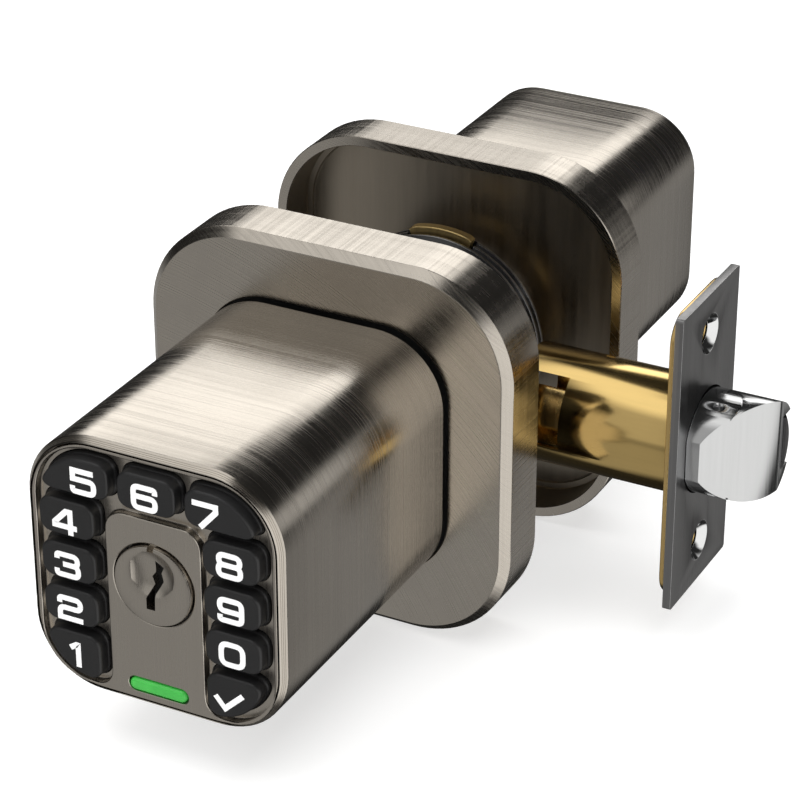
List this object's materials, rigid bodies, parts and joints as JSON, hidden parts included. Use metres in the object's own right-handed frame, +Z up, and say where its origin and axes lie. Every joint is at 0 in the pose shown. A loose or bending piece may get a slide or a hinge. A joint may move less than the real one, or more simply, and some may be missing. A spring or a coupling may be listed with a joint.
{
  "type": "keypad smart lock",
  "caption": "Knob-style keypad smart lock: rounded-square outside knob with keypad and key cylinder, rosettes, inside knob with batteries, and a sprung latch.",
  "frame": {"origin": "where the spindle's axis crosses the latch's axis, halfway through the door", "axes": "+Z up, -Y to the outside of the door with the keypad, +Y to the inside, +X to the door's edge along the latch"},
  "size_m": [0.109, 0.1734, 0.0716],
  "materials": {
    "satin_nickel": "brushed satin nickel",
    "black_metal": "blackened, semi-matt",
    "brass": "polished brass",
    "steel": "plain steel",
    "dark_steel": "brushed dark steel",
    "chrome": "satin chrome",
    "key_rubber": "smooth black silicone rubber",
    "black_plastic": "matt moulded plastic",
    "green_lens": "lit green light bar",
    "board_green": "solder-masked circuit board",
    "cell_sleeve": "printed-film battery sleeve, plain",
    "key_legend": "white printed legend on the keys"
  },
  "bodies": {
    "lock_body": {"outside_rosette": "satin_nickel", "rosette_liner": "black_plastic", "inside_rosette": "satin_nickel", "chassis_hub": "black_metal", "rose_catch": "brass", "chassis_plate_outside": "steel", "chassis_plate_inside": "steel", "mounting_screw_1": "steel", "mounting_screw_2": "steel", "outside_bearing": "brass", "inside_bearing": "brass", "outside_return_spring": "steel", "latch_tube": "brass", "latch_back_plate": "brass", "latch_faceplate": "dark_steel", "bolt_spring": "steel"},
    "outside_knob": {"outside_knob_shell": "satin_nickel", "keypad_face_plate": "satin_nickel", "keypad_membrane": "key_rubber", "circuit_board": "board_green", "status_light_lens": "green_lens", "core_frame": "black_plastic", "cylinder_housing": "steel", "clutch_motor": "steel", "outside_knob_base": "steel", "outside_knob_screw_1": "steel", "outside_knob_screw_2": "steel"},
    "clutch_dog_body": {"clutch_screw": "brass", "clutch_dog": "steel"},
    "plug_body": {"key_plug": "satin_nickel", "tailpiece": "steel"},
    "inside_knob": {"inside_knob_shell": "satin_nickel", "inside_knob_base": "steel", "inside_knob_screw_1": "steel", "inside_knob_screw_2": "steel", "spindle": "steel", "spindle_coupler": "steel", "latch_cam": "steel", "battery_holder": "black_plastic", "battery_cell_1": "cell_sleeve", "battery_cell_2": "cell_sleeve", "battery_cell_3": "cell_sleeve", "battery_cell_4": "cell_sleeve", "battery_cover": "satin_nickel", "battery_cover_screw": "steel"},
    "latch_bolt": {"bolt_head": "chrome", "bolt_pin": "steel", "retractor": "brass"},
    "plunger_body": {"deadlatch_plunger": "dark_steel"},
    "key_1_body": {"key_1": "key_rubber"},
    "key_2_body": {"key_2": "key_rubber"},
    "key_3_body": {"key_3": "key_rubber"},
    "key_4_body": {"key_4": "key_rubber"},
    "key_5_body": {"key_5": "key_rubber"},
    "key_6_body": {"key_6": "key_rubber"},
    "key_7_body": {"key_7": "key_rubber"},
    "key_8_body": {"key_8": "key_rubber"},
    "key_9_body": {"key_9": "key_rubber"},
    "key_0_body": {"key_0": "key_rubber"},
    "key_enter_body": {"key_enter": "key_rubber"}
  },
  "joints": [
    {"name": "outside_knob_turn", "type": "hinge", "parent": "lock_body", "child": "outside_knob", "pos_m": [0, 0, 0], "axis": [0, 1, 0], "range_deg": [-60, 60], "stiffness_Nm_per_rad": 0.6},
    {"name": "inside_knob_turn", "type": "hinge", "parent": "lock_body", "child": "inside_knob", "pos_m": [0, 0, 0], "axis": [0, 1, 0], "range_deg": [0, 60], "stiffness_Nm_per_rad": 0.6},
    {"name": "latch_bolt_slide", "type": "slide", "parent": "lock_body", "child": "latch_bolt", "axis": [-1, 0, 0], "range_m": [0, 0.012], "stiffness_N_per_m": 250, "deforming": ["bolt_spring"]},
    {"name": "plunger_slide", "type": "slide", "parent": "latch_bolt", "child": "plunger_body", "axis": [-1, 0, 0], "range_m": [0, 0.009], "stiffness_N_per_m": 120},
    {"name": "key_plug_turn", "type": "hinge", "parent": "outside_knob", "child": "plug_body", "pos_m": [0, -0.087, 0], "axis": [0, 1, 0], "range_deg": [0, 90]},
    {"name": "clutch_dog_slide", "type": "slide", "parent": "outside_knob", "child": "clutch_dog_body", "axis": [0, 1, 0], "range_m": [0, 0.003]},
    {"name": "key_1_press", "type": "slide", "parent": "outside_knob", "child": "key_1_body", "axis": [0, 1, 0], "range_m": [0, 0.0008], "stiffness_N_per_m": 500},
    {"name": "key_2_press", "type": "slide", "parent": "outside_knob", "child": "key_2_body", "axis": [0, 1, 0], "range_m": [0, 0.0008], "stiffness_N_per_m": 500},
    {"name": "key_3_press", "type": "slide", "parent": "outside_knob", "child": "key_3_body", "axis": [0, 1, 0], "range_m": [0, 0.0008], "stiffness_N_per_m": 500},
    {"name": "key_4_press", "type": "slide", "parent": "outside_knob", "child": "key_4_body", "axis": [0, 1, 0], "range_m": [0, 0.0008], "stiffness_N_per_m": 500},
    {"name": "key_5_press", "type": "slide", "parent": "outside_knob", "child": "key_5_body", "axis": [0, 1, 0], "range_m": [0, 0.0008], "stiffness_N_per_m": 500},
    {"name": "key_6_press", "type": "slide", "parent": "outside_knob", "child": "key_6_body", "axis": [0, 1, 0], "range_m": [0, 0.0008], "stiffness_N_per_m": 500},
    {"name": "key_7_press", "type": "slide", "parent": "outside_knob", "child": "key_7_body", "axis": [0, 1, 0], "range_m": [0, 0.0008], "stiffness_N_per_m": 500},
    {"name": "key_8_press", "type": "slide", "parent": "outside_knob", "child": "key_8_body", "axis": [0, 1, 0], "range_m": [0, 0.0008], "stiffness_N_per_m": 500},
    {"name": "key_9_press", "type": "slide", "parent": "outside_knob", "child": "key_9_body", "axis": [0, 1, 0], "range_m": [0, 0.0008], "stiffness_N_per_m": 500},
    {"name": "key_0_press", "type": "slide", "parent": "outside_knob", "child": "key_0_body", "axis": [0, 1, 0], "range_m": [0, 0.0008], "stiffness_N_per_m": 500},
    {"name": "key_enter_press", "type": "slide", "parent": "outside_knob", "child": "key_enter_body", "axis": [0, 1, 0], "range_m": [0, 0.0008], "stiffness_N_per_m": 500}
  ],
  "couplings": [
    {"joint": "latch_bolt_slide", "follows": "inside_knob_turn", "m_per_rad": 0.011459}
  ]
}
